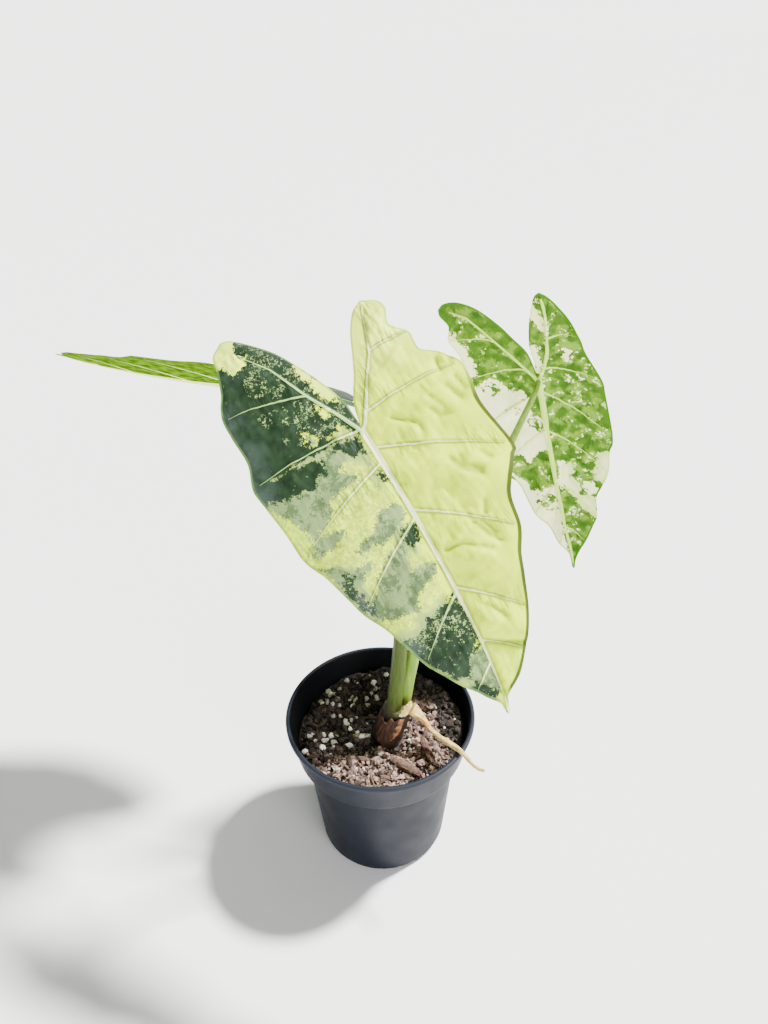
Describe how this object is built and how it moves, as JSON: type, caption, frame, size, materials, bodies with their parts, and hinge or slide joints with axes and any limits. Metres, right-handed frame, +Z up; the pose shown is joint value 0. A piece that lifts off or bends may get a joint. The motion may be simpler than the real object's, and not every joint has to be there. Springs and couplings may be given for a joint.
{
  "type": "potted variegated alocasia",
  "caption": "Potted aroid with long stalked arrow-shaped leaves, patched in dark green and cream, growing from a brown stem base in a tapered nursery pot of potting mix.",
  "frame": {"origin": "centre of the pot's flat underside, on the surface it stands on", "axes": "+Z up along the pot's axis; -Y towards the viewer of the picture; +X to the viewer's right"},
  "size_m": [0.3071, 0.2042, 0.3155],
  "materials": {
    "pot_plastic": "satin",
    "potting_mix": "matte",
    "stem_skin": "matte",
    "papery_skin": "matte",
    "dried_stalk": "matte",
    "petiole_skin": "satin",
    "front_blade": "satin",
    "right_blade": "satin",
    "left_blade": "satin"
  },
  "bodies": {
    "root": {"pot": "pot_plastic", "potting_mix": "potting_mix", "stem_base": "stem_skin", "papery_sheath": "papery_skin", "dried_stalk": "dried_stalk", "petiole_front": "petiole_skin", "petiole_right": "petiole_skin", "petiole_left": "petiole_skin", "blade_front": "front_blade", "blade_right": "right_blade", "blade_left": "left_blade"}
  },
  "joints": []
}
